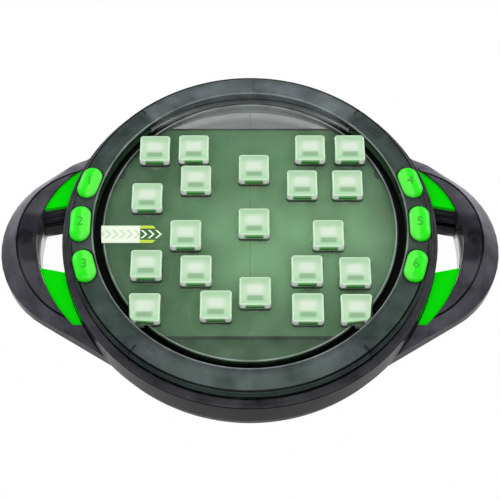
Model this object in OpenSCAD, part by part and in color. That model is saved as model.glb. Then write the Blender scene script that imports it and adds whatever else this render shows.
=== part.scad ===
// Hand-held memory game: a round key plate of lit keys in a raised rim, with a loop handle on each side.
// Millimetres. The origin is on the table under the middle of the plate, +X runs along the handles.

/* [Plate] */
// Radius of the flat key plate
plate_r = 75; // [73:0.5:77]
// Height of the plate's top above the table
plate_z = 36; // [35:0.5:40]
// Thickness of the plate
plate_t = 2.2; // [1.8:0.1:2.6]
// Width of the moat between the plate and the rim
moat_w = 3.4; // [3:0.1:4]
// Depth of the moat below the plate's top
moat_depth = 2.8; // [2.2:0.1:3.2]
// Thickness of the moat's floor and inner wall
moat_wall = 1.8; // [1.4:0.1:2]

/* [Rim] */
// Height of the rim's inner edge above the plate
rim_rise = 3.4; // [2.8:0.1:4]
// Width of the rim from its inner edge to its outer wall
rim_w = 12.8; // [12.6:0.1:13.4]
// Fall of the rim's top towards the outside, in degrees
rim_fall = 10; // [6:1:12]
// Thickness of the rim's inner and outer walls
rim_wall = 1.3; // [1.2:0.1:1.5]
// Radius of the rim's outer shoulder
shoulder_r = 3; // [2:0.25:3.5]
// Radius of small rounded edges
edge_r = 0.5; // [0.3:0.1:0.8]

/* [Drum] */
// General wall thickness of both housings
wall = 2.2; // [1.8:0.1:2.6]
// Width of the ledge below the rim
ledge_w = 3.8; // [3.4:0.1:5]
// Depth of the ledge below the plate's top
ledge_drop = 6; // [5.5:0.25:7]
// Radius of the ledge's outer edge
ledge_r = 1.8; // [1:0.2:2]
// Height of the joint between the two housings
split_z = 13; // [12:0.5:14]
// How far the base draws in below the joint
base_inset = 8; // [6:0.5:9]
// Height of the base above the table, set by the feet
base_z = 1.5; // [1:0.25:2.5]
// Height of the locating lip above the joint
lip_h = 2; // [1:0.25:3]
// Clearance between pieces that are fixed together
fit_gap = 0.25; // [0.15:0.05:0.4]

/* [Handles] */
// Width of the finger hole between the drum and the handle
finger_gap = 13.5; // [12.5:0.5:15]
// Width of the handle outside the finger hole
grip_w = 19.8; // [19:0.2:23]
// Radius of the handle's outer end
handle_tip_r = 48.5; // [46:0.5:51]
// How far inside the drum's radius the handle's straight flanks aim
root_inset = 4.5; // [4:0.25:5]
// Height of the handle's top at its middle
handle_top = 25.5; // [24.5:0.5:27]
// Radius of the arch that the handle's top makes from front to rear
arch_r = 136; // [125:1:160]
// Height of the handle's top at its roots
root_z = 15; // [14.5:0.25:16]
// Width of the bevel at the handle's end
handle_bevel = 9; // [7:0.5:10]
// Height where the bevel starts
belly_high = 14; // [13.5:0.25:14.25]
// Height where the handle's underside starts to draw in
belly_low = 7.4; // [6:0.2:9]
// Height of the handle's underside
handle_base = 3; // [2.5:0.25:4]
// How far the handle's underside draws in
belly_inset = 5; // [3:0.5:6]
// Radius of the handle opening's outer edge
opening_r = 62; // [60:0.5:64]
// Half length of the handle opening
opening_half = 46; // [44:0.5:47]
// Half length of the finger hole beside the drum
hole_half_in = 19.2; // [17:0.2:21]
// Half length of the finger hole beside the handle
hole_half_out = 16.6; // [15:0.2:17]
// Number of ribs down each end of the finger hole
rib_count = 3; // [2:1:4]
// How far each rib stands into the finger hole
rib_in = 1.6; // [1:0.1:1.8]
// Thickness of a grip insert
insert_t = 2.5; // [1.5:0.25:3]
// How far an insert lies below the handle's top
insert_drop = 1; // [0.5:0.1:1.5]

/* [Keys] */
// Width of a square key
key_w = 15.4; // [14:0.1:15.6]
// Height of a key above the plate
key_proud = 3.7; // [3:0.1:6]
// Travel of a key
key_travel = 1.8; // [1:0.1:2.2]
// Clearance around a key in its hole
key_gap = 0.35; // [0.3:0.05:0.5]
// Corner radius of a key
key_corner = 1.4; // [0.8:0.1:2]
// Chamfer along a key's top edges
key_chamfer = 0.6; // [0.3:0.1:1]
// Wall thickness of a key
key_wall = 1.5; // [1:0.1:1.8]
// Reach of a key's tabs under the plate, past the hole
key_hold = 0.7; // [0.5:0.05:0.8]
// Length of a key's tabs
key_tab_l = 5; // [4:0.25:6]
// Thickness of a key's tabs
key_tab_t = 1.2; // [0.8:0.1:1.6]
// Diameter of a key's hollow light stem
stem_d = 6; // [5.6:0.2:7]
// Wall thickness of a light stem
stem_wall = 0.8; // [0.6:0.1:0.9]
// Rest clearance below the plate and above the board
rest_gap = 0.25; // [0.15:0.05:0.3]

/* [Mode buttons] */
// Width of a mode button
button_w = 10.4; // [9.6:0.1:10.6]
// Length of a middle mode button
button_long = 19.6; // [18:0.2:20.4]
// Length of an outer mode button
button_short = 17.6; // [16:0.2:18.4]
// Angle between neighbouring mode buttons, in degrees
button_pitch = 16.3; // [16:0.1:17.5]
// Height of a mode button above the plate
button_proud = 5; // [4.4:0.1:6]
// Height of a mode button's rounded crown
button_crown = 1.8; // [1:0.1:2]
// Travel of a mode button
button_travel = 1; // [0.6:0.1:1.2]
// Clearance around a mode button in its hole
button_gap = 0.3; // [0.2:0.05:0.35]
// Width of the tabs at a mode button's ends
tab_w = 5; // [4:0.25:6]
// Thickness of those tabs
tab_t = 1.2; // [0.8:0.1:1.4]
// Diameter of a mode button's stem
button_stem_d = 4; // [3.6:0.2:4.4]

/* [Sticker] */
// Length of the arrow-shaped sticker
label_l = 30.5; // [26:0.5:32]
// Width of the sticker
label_w = 9.8; // [8:0.2:10.4]
// Length of the sticker's arrow tip
label_tip = 4.6; // [3:0.2:6]
// Thickness of the sticker
label_t = 0.25; // [0.1:0.05:0.4]
// Place of the sticker's middle line along Y
label_y = -4.8; // [-6:0.2:-4]

/* [Board] */
// Depth of the main board's top below the plate's top
board_drop = 9.2; // [9:0.2:10.4]
// Thickness of the main board
board_t = 1.6; // [1:0.1:2]
// Straight rear edge of the board along Y
board_back = 64.5; // [62:0.5:66]
// Straight front edge of the board along Y
board_front = 57.5; // [57:0.5:60]
// Clearance between the board's round edge and the rim's wall
board_gap = 1; // [0.75:0.25:2]
// Width of a key lamp
lamp_w = 2.8; // [2:0.1:3]
// Height of a key lamp
lamp_h = 1.2; // [0.8:0.1:1.4]
// Height of the silicone boots
boot_h = 3.4; // [2.5:0.1:4]
// Wall thickness of the silicone boots
boot_wall = 1.8; // [1.2:0.1:2]
// Clearance between a boot and the stem in it
boot_gap = 0.3; // [0.25:0.05:0.4]

/* [Power and sound] */
// Diameter of a cell
cell_d = 10.5; // [10.2:0.1:11]
// Length of a cell with its cap
cell_l = 44.5; // [43:0.5:46]
// Room at each end of a cell for its contact
contact_room = 3.5; // [3:0.25:5]
// Thickness of the contact strips
contact_t = 0.5; // [0.3:0.1:0.8]
// Width of a contact strip
contact_w = 7; // [5:0.5:8]
// Gap between neighbouring cells and around them
cell_gap = 0.8; // [0.5:0.1:1]
// Place of the battery bay's middle along Y
bay_y = -24; // [-26:0.5:-22]
// Wall thickness of the battery bay
bay_wall = 1.6; // [1.2:0.1:2]
// Thickness of the battery door
door_t = 2; // [1.6:0.1:2.2]
// Clearance around the battery door
door_gap = 0.35; // [0.3:0.05:0.5]
// Length of the door's screw tongue
tongue_l = 12; // [11:0.5:14]
// Width of the door's screw tongue
tongue_w = 9; // [8:0.5:10]
// Diameter of the speaker
speaker_d = 40; // [36:1:44]
// Depth of the speaker's frame
speaker_h = 6.3; // [5:0.1:7]
// Diameter of the speaker's magnet
magnet_d = 22; // [18:1:24]
// Height of the speaker's magnet
magnet_h = 4.5; // [3:0.25:5.5]
// Diameter of a grille hole
grille_d = 2.4; // [1.6:0.2:3]
// Diameter of the wires
wire_d = 1.3; // [1:0.1:1.6]

/* [Fasteners and feet] */
// Shank diameter of the housing screws
screw_d = 2.8; // [2.4:0.1:3]
// Head diameter of the housing screws
screw_head_d = 5.4; // [4.8:0.1:5.6]
// Length of a housing screw below its head
screw_l = 14; // [12:1:16]
// Wall around the housing screws
boss_wall = 1.6; // [1.2:0.1:1.8]
// Angle of the drum's screws from the handles' line, in degrees
boss_angle = 52; // [50:0.5:54]
// Height where the lower bosses meet the upper posts in the drum
post_z = 16; // [15:0.5:18]
// Shank diameter of the board screws
board_screw_d = 2.2; // [1.8:0.1:2.4]
// Head diameter of the board screws
board_head_d = 4.2; // [3.6:0.2:4.6]
// Angle of the board's screws from the handles' line, in degrees
board_post_angle = 28; // [27:0.5:30]
// Length of a board screw below its head
board_screw_l = 6; // [5:0.5:7]
// Depth of the door screw's grip in its boss
door_screw_grip = 4; // [3:0.5:5]
// Depth of a screw head's well above the housing's floor
seat_rise = 4; // [3:0.5:5]
// Diameter of the posts that carry the board
post_d = 6; // [5.4:0.2:6.4]
// Diameter of a foot
foot_d = 13; // [10:0.5:15]
// Depth of a foot's seat in the base
foot_seat = 0.6; // [0.4:0.1:1]
// Place of a foot along X and along Y
foot_at = 52; // [48:1:54]

/* [Hidden] */
$fn = 96;
handle_fn = 48;
arch_fn = 360;
big = 400;
// How far a cut runs past a face
past = 1;
// Plate radius at which the places of the keys are given
layout_r = 75;
key_places = [
    [-49, 44], [-29, 44.5], [31, 44.5], [51.5, 44.5],
    [-27.5, 26], [2, 32.5], [26.5, 23.2], [49.5, 23.2], [-52, 15.5],
    [2, 0.7], [39, -6], [-32, -6],
    [-51, -23], [-26.5, -26], [28, -26], [51.5, -27],
    [2.5, -38], [-16.5, -45.3], [-51, -46.8], [28, -46.8], [51.5, -47.2]
];
sides = [1, -1];
rim_in = plate_r + moat_w;
rim_out = rim_in + rim_w;
drum_r = rim_out + ledge_w;
rim_edge_z = plate_z + rim_rise;
moat_z = plate_z - moat_depth;
moat_under = moat_z - moat_wall;
ledge_z = plate_z - ledge_drop;
plate_under = plate_z - plate_t;
shoulder_x = rim_out - shoulder_r;
shoulder_z = rim_z(shoulder_x) - shoulder_r / cos(rim_fall);
floor_z = base_z + wall;

// Handles
opening_x = drum_r + finger_gap;
opening_c = opening_x - opening_r;
handle_reach = opening_x + grip_w;
tip_c = handle_reach - handle_tip_r;
root_r = drum_r - root_inset;
shelf_drop = insert_drop + insert_t + fit_gap;
shelf_t = wall;
rib_h = (handle_top - shelf_drop - split_z) / rib_count;
rib_reach = rib_count * rib_in;
cavity_shift = wall * tan(22.5);
post_space = 1;
handle_post_x = opening_x + wall + post_d / 2 + post_space;

// Keys
key_top = plate_z + key_proud;
key_hole = key_w + 2 * key_gap;
key_limit_r = rim_in - key_gap;
key_tab_limit_r = plate_r - moat_wall - key_gap;
key_tab_under = plate_under - rest_gap - key_tab_t;
// Place of a tab's middle along its side of the key
key_tab_at = key_w / 4;

// Board
board_top = plate_z - board_drop;
board_under = board_top - board_t;
board_r = rim_out - rim_wall - board_gap;
stem_low = board_top + key_travel + rest_gap;

// Mode buttons
button_ring_r = (rim_in + rim_out) / 2;
button_names = ["rear", "middle", "front"];
per_side = len(button_names);
button_top = plate_z + button_proud;
tab_past = 1;
tab_half = button_long / 2 + button_gap + tab_past;
tab_reach = norm([button_ring_r + tab_w / 2, tab_half]);
tab_top = rim_z(tab_reach) - wall - rest_gap;
tab_under = tab_top - tab_t;
button_stem_low = board_top + button_travel + rest_gap;
button_cut_z = tab_under - button_travel - rest_gap;

// Power and sound
cell_pitch = cell_d + cell_gap;
cells = [-1, 0, 1];
bay_half_x = cell_l / 2 + contact_room;
bay_half_y = cell_pitch + cell_d / 2 + cell_gap;
door_top = base_z + door_t;
cell_z = door_top + fit_gap + cell_d / 2;
bay_top = cell_z + cell_d / 2 + fit_gap;
bay_over = bay_wall / 2;
tongue_x = bay_half_x + bay_over + tongue_l;
door_screw_x = tongue_x - tongue_w / 2;
door_boss_h = 7;
speaker_space = 3;
speaker_y = bay_y + bay_half_y + bay_wall + speaker_space + speaker_d / 2;
speaker_rim = 2.4;
speaker_rim_h = 2;
frame_t = 1;
cone_t = 0.6;
blob_r = 8;
blob_h = 2.4;
blob_sphere = (blob_r * blob_r + blob_h * blob_h) / (2 * blob_h);
blob_y = -14;
cap_d = 6.3;
cap_h = 7;
cap_x = 30;
cap_y = 4;
tag_w = 2.4;
tag_h = 1.6;
tag_x = 3.5;
tag_root = 2;
wire_stub = 0.6;
wire_sway = 1.2;
cell_cap_l = 1;
cell_cap_r = 1.9;
grille_rings = 2;
grille_pitch = 5.3;

// Screws
screw_gap = 0.05;
head_h = 2;
board_head_h = 1.4;
head_gap = 0.3;
// Height of the door screw's head above the table
head_lift = 0.45;
// Length and width of a screw's cross recess as shares of its head
recess_l = 0.6;
recess_w = 0.16;
boss_r = screw_head_d / 2 + head_gap + boss_wall;
boss_ring_r = drum_r - base_inset - wall - boss_r - fit_gap;
seat_z = floor_z + seat_rise;
handle_seat_z = handle_base + seat_rise;
post_r = post_d / 2;
boss_places = [for (sx = sides, sy = sides) boss_ring_r * [sx * cos(boss_angle), sy * sin(boss_angle)]];
foot_places = [for (sx = sides, sy = sides) foot_at * [sx, sy]];
board_post_r = (plate_r + rim_in) / 2;
board_posts = [
    for (sx = sides, sy = sides)
        board_post_r * [sx * cos(board_post_angle), sy * sin(board_post_angle)]
];

key_nodes = [for (i = [1 : len(key_places)]) str("key_", i < 10 ? "0" : "", i)];
button_nodes = [for (side = ["left", "right"], place = button_names) str("mode_button_", side, "_", place)];
insert_nodes = [for (side = ["left", "right"], place = ["rear", "front"]) str("grip_insert_", side, "_", place)];
cell_nodes = [for (i = [1 : len(cells)]) str("battery_", i)];
single_nodes = [
    "top_housing", "bottom_housing", "start_label", "main_board", "key_lamps", "key_boots", "button_boots",
    "controller_blob", "capacitors", "speaker_frame", "speaker_cone", "speaker_magnet", "speaker_wires",
    "battery_contacts_left", "battery_contacts_right", "battery_wires", "battery_door", "door_screw",
    "housing_screws", "board_screws", "rubber_feet"
];

smoke = [0.30, 0.32, 0.33];
dark_smoke = [0.16, 0.17, 0.18];
key_white = [0.86, 0.95, 0.87];
neon_green = [0.12, 0.86, 0.06];
board_green = [0.16, 0.42, 0.22];
silicone = [0.88, 0.88, 0.85];
steel = [0.72, 0.73, 0.75];
black = [0.08, 0.08, 0.09];

// Height of the rim's sloping top at radius r
function rim_z(r) = rim_edge_z - tan(rim_fall) * (r - rim_in);

// Points on an arc round c, from angle a to angle b
function arc(c, r, a, b, n = 6) = [for (i = [0 : n]) c + r * [cos(a + (b - a) * i / n), sin(a + (b - a) * i / n)]];

// Half length of the finger hole at place x
function hole_half(x) = hole_half_in + (hole_half_out - hole_half_in) * (x - drum_r) / finger_gap;

// Half section of the top housing's drum
module top_section() {
    outer = concat(
        [[0, plate_z]],
        arc([plate_r - edge_r, plate_z - edge_r], edge_r, 90, 0, 3),
        [[plate_r, moat_z], [rim_in, moat_z]],
        arc([rim_in + edge_r, rim_z(rim_in + edge_r) - edge_r], edge_r, 180, 90 - rim_fall, 3),
        arc([shoulder_x, shoulder_z], shoulder_r, 90 - rim_fall, 0),
        [[rim_out, ledge_z]],
        arc([drum_r - ledge_r, ledge_z - ledge_r], ledge_r, 90, 0),
        [[drum_r, split_z]]
    );
    inner = [
        [drum_r - wall, split_z],
        [drum_r - wall, ledge_z - wall - ledge_r / 2],
        [drum_r - wall - ledge_r / 2, ledge_z - wall],
        [rim_out - rim_wall, ledge_z - wall],
        [rim_out - rim_wall, shoulder_z],
        [shoulder_x, rim_z(shoulder_x) - wall],
        [rim_in + rim_wall, rim_z(rim_in + rim_wall) - wall],
        [rim_in + rim_wall, moat_under],
        [plate_r - moat_wall, moat_under],
        [plate_r - moat_wall, plate_under],
        [0, plate_under]
    ];
    polygon(concat(outer, inner));
}

// Half section of the bottom housing's drum
module bottom_section() {
    polygon([
        [0, base_z],
        [drum_r - base_inset - wall, base_z],
        [drum_r - base_inset, floor_z],
        [drum_r, split_z],
        [drum_r - wall, split_z],
        [drum_r - base_inset - wall, floor_z],
        [0, floor_z]
    ]);
    translate([drum_r - 2 * wall - fit_gap, floor_z])
        square([wall, split_z + lip_h - floor_z]);
}

// Rounded rectangle
module rounded(size, r) {
    square([size.x - 2 * r, size.y], center = true);
    square([size.x, size.y - 2 * r], center = true);
    for (sx = sides, sy = sides)
        translate([sx * (size.x / 2 - r), sy * (size.y / 2 - r)])
            circle(r);
}

// Capsule of width w and length l along Y
module capsule(w, l) {
    square([w, l - w], center = true);
    for (s = sides)
        translate([0, s * (l - w) / 2])
            circle(d = w);
}

// A handle's end circle and root circle from z0 to z1, drawn in by tip_in and root_in at the foot
// and by tip_top and root_top at the head
module handle_band(z0, z1, tip_in, root_in, tip_top, root_top) {
    translate([tip_c, 0, z0])
        cylinder(r1 = handle_tip_r - tip_in, r2 = handle_tip_r - tip_top, h = z1 - z0, $fn = handle_fn);
    translate([0, 0, z0])
        cylinder(r1 = root_r - root_in, r2 = root_r - root_top, h = z1 - z0, $fn = handle_fn);
}

// Upper half of a handle's outer body
module handle_upper() {
    hull() {
        handle_band(split_z, belly_high, 0, 0, 0, 0);
        handle_band(belly_high, handle_top, 0, 0, handle_bevel, 0);
    }
}

// Space inside the upper half of a handle
module handle_upper_space() {
    high = belly_high - cavity_shift;
    hull() {
        handle_band(split_z - past, high, wall, wall, wall, wall);
        handle_band(high, handle_top - wall, wall, wall, handle_bevel + cavity_shift, wall);
    }
}

// Lower half of a handle's outer body
module handle_lower() {
    hull() {
        handle_band(handle_base, belly_low, belly_inset, belly_inset, 0, 0);
        handle_band(belly_low, split_z, 0, 0, 0, 0);
    }
}

// Space inside the lower half of a handle
module handle_lower_space() {
    inset = belly_inset + wall;
    hull() {
        handle_band(handle_base + wall, belly_low, inset, inset, wall, wall);
        handle_band(belly_low, split_z + past, wall, wall, wall, wall);
    }
}

// Outline of the handle opening, grown by g on every side
module opening(g = 0) {
    difference() {
        intersection() {
            translate([opening_c, 0])
                circle(opening_r + g);
            translate([0, -opening_half - g])
                square([big, 2 * (opening_half + g)]);
        }
        circle(drum_r - g);
    }
}

// Wedge between the finger hole's two ends, grown by g
module hole_wedge(g = 0) {
    x_in = drum_r - 2 * finger_gap;
    x_out = drum_r + 2 * finger_gap;
    polygon([
        [x_in, -hole_half(x_in) - g],
        [x_out, -hole_half(x_out) - g],
        [x_out, hole_half(x_out) + g],
        [x_in, hole_half(x_in) + g]
    ]);
}

// Outline of the finger hole, with its ends moved out by ends and its sides by g
module finger_hole(ends, g) {
    intersection() {
        opening(g);
        hole_wedge(ends);
    }
}

// Space under the handle's arched top, sunk by drop
module under_arch(drop = 0) {
    translate([0, 0, handle_top - drop - arch_r])
        rotate([0, 90, 0])
            cylinder(r = arch_r, h = big, $fn = arch_fn);
    translate([0, -big / 2, 0])
        cube([big, big, root_z - drop]);
}

// Places its children on the right side and, turned round, on the left side
module both_sides() {
    children();
    rotate(180)
        children();
}

module at_key(i) {
    translate(key_places[i] * plate_r / layout_r)
        children();
}

// Places its children at mode button number i of 0 to 5, left side first, rear to front
module at_button(i) {
    side = i < per_side ? 180 : 0;
    turn = i < per_side ? i - 1 : 1 - i % per_side;
    rotate(side + turn * button_pitch)
        translate([button_ring_r, 0, 0])
            children();
}

function button_length(i) = i % per_side == 1 ? button_long : button_short;

module top_housing() {
    color(smoke) {
        top_drum();
        both_sides()
            top_handle();
    }
}

// Plate, moat, rim and drum wall with their holes and posts
module top_drum() {
    difference() {
        union() {
            rotate_extrude()
                top_section();
            board_post_set();
            for (p = boss_places)
                translate([p.x, p.y, post_z])
                    cylinder(r = post_r, h = moat_z - moat_wall / 2 - post_z);
        }
        for (i = [0 : len(key_places) - 1])
            key_hole_cut(i);
        for (i = [0 : len(button_nodes) - 1])
            at_button(i)
                translate([0, 0, button_cut_z])
                    linear_extrude(button_top - button_cut_z)
                        capsule(button_w + 2 * button_gap, button_length(i) + 2 * button_gap);
        for (p = boss_places)
            translate([p.x, p.y, post_z - past])
                cylinder(d = screw_d + 2 * screw_gap, h = seat_z + screw_l - post_z + 2 * past);
        for (p = board_posts)
            translate([p.x, p.y, board_under])
                cylinder(d = board_screw_d + 2 * screw_gap, h = board_screw_l + fit_gap);
    }
}

// Upper half of the right handle
module top_handle() {
    difference() {
        intersection() {
            handle_upper();
            under_arch();
        }
        intersection() {
            handle_upper_space();
            under_arch(wall);
        }
        cylinder(r = drum_r - wall / 2, h = big);
        linear_extrude(big)
            opening();
    }
    intersection() {
        translate([0, 0, split_z])
            linear_extrude(handle_top - split_z)
                difference() {
                    opening(wall);
                    opening();
                    circle(drum_r - wall / 2);
                }
        under_arch(wall / 2);
    }
    translate([handle_post_x, 0, split_z])
        difference() {
            cylinder(r = post_r, h = handle_top - wall / 2 - split_z);
            translate([0, 0, -past])
                cylinder(d = screw_d + 2 * screw_gap, h = handle_top - wall - split_z);
        }
}

// Posts under the moat that the board is screwed to
module board_post_set() {
    for (p = board_posts)
        translate([p.x, p.y, board_top])
            cylinder(r = post_r, h = moat_z - moat_wall / 2 - board_top);
}

// The hole of key i, held inside the rim
module key_hole_cut(i) {
    intersection() {
        at_key(i)
            translate([0, 0, moat_under - past])
                linear_extrude(plate_z - moat_under + 2 * past)
                    rounded([key_hole, key_hole], key_corner + key_gap);
        cylinder(r = key_limit_r + key_gap / 2, h = big);
    }
}

module bottom_housing() {
    color(dark_smoke)
        difference() {
            union() {
                rotate_extrude()
                    bottom_section();
                both_sides()
                    bottom_handle();
                for (p = boss_places)
                    translate([p.x, p.y, base_z])
                        cylinder(r = boss_r, h = post_z - fit_gap - base_z);
                bay_walls();
                speaker_rim_wall();
                door_boss();
            }
            both_sides() {
                linear_extrude(split_z + past)
                    finger_hole(-rib_reach, -fit_gap);
                screw_way(handle_post_x, 0, handle_seat_z);
            }
            for (p = boss_places)
                screw_way(p.x, p.y, seat_z);
            bay_cut();
            for (p = foot_places)
                translate([p.x, p.y, 0])
                    cylinder(d = foot_d + 2 * fit_gap, h = base_z + foot_seat);
            grille();
        }
}

// Lower half of the right handle, with the finger hole's walls and ribs and the shelf under the inserts
module bottom_handle() {
    difference() {
        handle_lower();
        handle_lower_space();
        cylinder(r = drum_r - base_inset - wall, h = big);
        translate([0, 0, floor_z])
            cylinder(r = drum_r - wall / 2, h = big);
    }
    translate([0, 0, handle_base + wall / 2])
        linear_extrude(split_z - handle_base - wall / 2)
            finger_hole(wall - rib_reach, wall - fit_gap);
    intersection() {
        for (k = [0 : rib_count - 1])
            finger_rib(k);
        under_arch(shelf_drop);
    }
    intersection() {
        linear_extrude(handle_top)
            insert_outline();
        difference() {
            under_arch(shelf_drop);
            under_arch(shelf_drop + shelf_t);
        }
    }
    translate([handle_post_x, 0, handle_base + wall / 2])
        cylinder(r = boss_r, h = split_z - fit_gap - handle_base - wall / 2);
}

// Rib number k of both ends of the finger hole, counted up from the joint
module finger_rib(k) {
    inward = (rib_count - 1 - k) * rib_in;
    translate([0, 0, split_z + k * rib_h - past])
        linear_extrude(rib_h + past)
            difference() {
                finger_hole(wall + rib_in - inward, -fit_gap);
                hole_wedge(-inward);
            }
}

// Outline of both inserts on the right side
module insert_outline() {
    difference() {
        opening(-fit_gap);
        hole_wedge();
    }
}

// Way of a screw from below: its head's well up to seat, and its shank's hole above
module screw_way(x, y, seat) {
    translate([x, y, 0]) {
        cylinder(r = screw_head_d / 2 + head_gap, h = seat);
        cylinder(d = screw_d + 2 * screw_gap, h = big);
    }
}

// Walls and ceiling of the battery bay
module bay_walls() {
    translate([-bay_half_x - bay_wall, bay_y - bay_half_y - bay_wall, base_z])
        cube([2 * (bay_half_x + bay_wall), 2 * (bay_half_y + bay_wall), bay_top + bay_wall - base_z]);
}

// Boss over the door's screw tongue
module door_boss() {
    translate([bay_half_x, bay_y - tongue_w, base_z])
        cube([tongue_l + 2 * bay_wall, 2 * tongue_w, floor_z + door_boss_h - base_z]);
}

// Space of the battery bay, the door's opening and the door screw's hole
module bay_cut() {
    translate([-bay_half_x, bay_y - bay_half_y, 0])
        cube([2 * bay_half_x, 2 * bay_half_y, bay_top]);
    translate([0, bay_y, 0])
        linear_extrude(door_top + fit_gap)
            door_outline(door_gap);
    translate([door_screw_x, bay_y, 0])
        cylinder(d = board_screw_d + 2 * screw_gap, h = floor_z + door_boss_h - bay_wall);
    for (i = [0 : len(cells) - 1], s = sides)
        translate([s * (bay_half_x - contact_t / 2), bay_y + cells[i] * cell_pitch, bay_top + bay_wall / 2])
            cube([contact_t + 2 * fit_gap, tag_w + 2 * fit_gap, bay_wall + 2 * past], center = true);
}

// Outline of the battery door with its tongue, grown by g
module door_outline(g = 0) {
    half_x = bay_half_x + bay_over - door_gap + g;
    half_y = bay_half_y + bay_over - door_gap + g;
    square([2 * half_x, 2 * half_y], center = true);
    translate([0, -tongue_w / 2 - g])
        square([tongue_x - door_gap + g, tongue_w + 2 * g]);
}

// Rim on the floor that holds the speaker
module speaker_rim_wall() {
    translate([0, speaker_y, base_z])
        difference() {
            cylinder(r = speaker_d / 2 + fit_gap + bay_wall, h = wall + speaker_rim_h);
            translate([0, 0, wall])
                cylinder(r = speaker_d / 2 + fit_gap, h = big);
        }
}

// Holes under the speaker, in rings
module grille() {
    translate([0, speaker_y, 0])
        for (ring = [0 : grille_rings])
            for (k = [0 : max(1, 6 * ring) - 1])
                rotate(360 * k / max(1, 6 * ring))
                    translate([ring * grille_pitch, 0, 0])
                        cylinder(d = grille_d, h = floor_z + past);
}

// Key number i: a hollow cap with tabs under the plate and a light stem over its lamp
module key(i) {
    color(key_white) {
        difference() {
            intersection() {
                at_key(i)
                    key_block();
                cylinder(r = key_limit_r - key_gap, h = big);
            }
            intersection() {
                at_key(i)
                    translate([0, 0, key_tab_under - past])
                        linear_extrude(key_top - key_wall - key_tab_under + past)
                            square(key_w - 2 * key_wall, center = true);
                cylinder(r = key_limit_r - key_gap - key_wall, h = big);
            }
        }
        intersection() {
            at_key(i)
                key_tabs();
            cylinder(r = key_tab_limit_r, h = big);
        }
        at_key(i)
            translate([0, 0, stem_low])
                difference() {
                    cylinder(d = stem_d, h = key_top - key_wall / 2 - stem_low);
                    translate([0, 0, -past])
                        cylinder(d = stem_d - 2 * stem_wall, h = key_top - key_wall - stem_low + past);
                }
    }
}

// Outer block of a key with its chamfered top
module key_block() {
    difference() {
        translate([0, 0, key_tab_under])
            linear_extrude(key_top - key_tab_under)
                rounded([key_w, key_w], key_corner);
        for (a = [0 : 90 : 270])
            rotate(a)
                translate([key_w / 2 - key_chamfer, -key_w, key_top])
                    rotate([0, 45, 0])
                        cube([key_w, 2 * key_w, key_w]);
    }
}

// A tab on each side of a key, each on the same half of its side, so that neighbours' tabs pass each other
module key_tabs() {
    inner = key_w / 2 - key_wall / 2;
    for (a = [0 : 90 : 270])
        rotate(a)
            translate([inner, key_tab_at - key_tab_l / 2, key_tab_under])
                cube([key_hole / 2 + key_hold - inner, key_tab_l, key_tab_t]);
}

// Mode button number i: a capsule with a rounded crown, tabs under the rim and a stem over its contact
module mode_button(i) {
    l = button_length(i);
    color(neon_green)
        at_button(i) {
            translate([0, 0, tab_under])
                linear_extrude(button_top - button_crown - tab_under)
                    capsule(button_w, l);
            intersection() {
                translate([0, 0, button_top - button_crown])
                    linear_extrude(button_crown)
                        capsule(button_w, l);
                button_crown_form(l);
            }
            translate([0, 0, tab_under])
                linear_extrude(tab_t)
                    square([tab_w, l + 2 * button_gap + 2 * tab_past], center = true);
            translate([0, 0, button_stem_low])
                cylinder(d = button_stem_d, h = tab_under + tab_t - button_stem_low);
        }
}

// Rounded crown over a capsule of length l: an arched bar between two domes
module button_crown_form(l) {
    half = button_w / 2 + button_gap;
    dome = (half * half + button_crown * button_crown) / (2 * button_crown);
    low = button_top - dome;
    translate([0, 0, low])
        rotate([90, 0, 0])
            cylinder(r = dome, h = l - button_w, center = true);
    for (s = sides)
        translate([0, s * (l - button_w) / 2, low])
            sphere(dome);
}

// Insert in the rear or front end of the opening on one side: turn is 0 on the right, 180 on the left
module grip_insert(turn, rear) {
    color(neon_green)
        rotate(turn)
            intersection() {
                linear_extrude(handle_top)
                    intersection() {
                        insert_outline();
                        translate([0, rear ? 0 : -big])
                            square(big);
                    }
                difference() {
                    under_arch(insert_drop);
                    under_arch(insert_drop + insert_t);
                }
            }
}

module start_label() {
    left = -plate_r + edge_r;
    right = left + label_l;
    half = label_w / 2;
    color([0.93, 0.95, 0.80])
        translate([0, label_y, plate_z])
            linear_extrude(label_t)
                intersection() {
                    polygon([
                        [left, -half],
                        [right - label_tip, -half],
                        [right, 0],
                        [right - label_tip, half],
                        [left, half]
                    ]);
                    translate([0, -label_y])
                        circle(plate_r - edge_r);
                }
}

module main_board() {
    color(board_green)
        translate([0, 0, board_under])
            linear_extrude(board_t)
                difference() {
                    intersection() {
                        circle(board_r);
                        translate([-big / 2, -board_front])
                            square([big, board_front + board_back]);
                    }
                    for (p = boss_places)
                        translate(p)
                            circle(post_r + 2 * fit_gap);
                    for (p = board_posts)
                        translate(p)
                            circle(d = board_screw_d + 4 * screw_gap);
                }
}

module key_lamps() {
    color([0.95, 0.93, 0.80])
        for (i = [0 : len(key_places) - 1])
            at_key(i)
                translate([-lamp_w / 2, -lamp_w / 2, board_top])
                    cube([lamp_w, lamp_w, lamp_h]);
}

// Silicone collar on the board round a stem of diameter d
module boot(d) {
    translate([0, 0, board_top])
        difference() {
            cylinder(d = d + 2 * boot_gap + 2 * boot_wall, h = boot_h);
            translate([0, 0, -past])
                cylinder(d = d + 2 * boot_gap, h = boot_h + 2 * past);
        }
}

module key_boots() {
    color(silicone)
        for (i = [0 : len(key_places) - 1])
            at_key(i)
                boot(stem_d);
}

module button_boots() {
    color(silicone)
        for (i = [0 : len(button_nodes) - 1])
            at_button(i)
                boot(button_stem_d);
}

// Low epoxy dome under the board
module controller_blob() {
    color(black)
        intersection() {
            translate([0, blob_y, board_under - blob_h + blob_sphere])
                sphere(blob_sphere);
            translate([-blob_r, blob_y - blob_r, board_under - blob_h])
                cube([2 * blob_r, 2 * blob_r, blob_h]);
        }
}

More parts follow.
